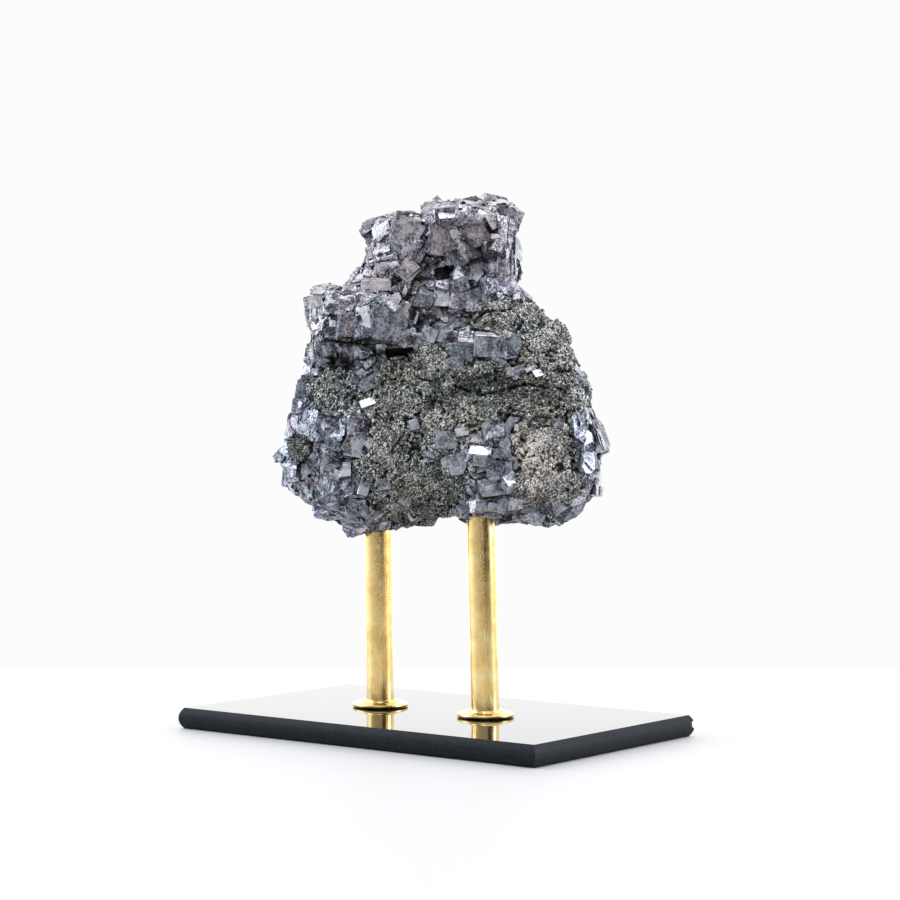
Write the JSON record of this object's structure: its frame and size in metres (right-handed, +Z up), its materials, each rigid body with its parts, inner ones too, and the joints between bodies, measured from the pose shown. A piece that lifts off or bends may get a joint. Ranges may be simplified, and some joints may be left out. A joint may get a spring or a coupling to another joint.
{
  "type": "mineral specimen on stand",
  "caption": "Natural galena crystal cluster on fine-grained pyrite matrix, held by brass rods with turned flanges over a polished black stone plate.",
  "frame": {"origin": "centre of the stone plate's underside", "axes": "+X along the plate's long side, +Z up through the specimen, +Y away from the side that shows the galena best"},
  "size_m": [0.2016, 0.123, 0.2446],
  "materials": {
    "black_stone": "polished",
    "brass": "satin",
    "galena": "satin"
  },
  "bodies": {
    "root": {"base": "black_stone", "left_post": "brass", "right_post": "brass", "left_flange": "brass", "right_flange": "brass", "galena_specimen": "galena"}
  },
  "joints": []
}
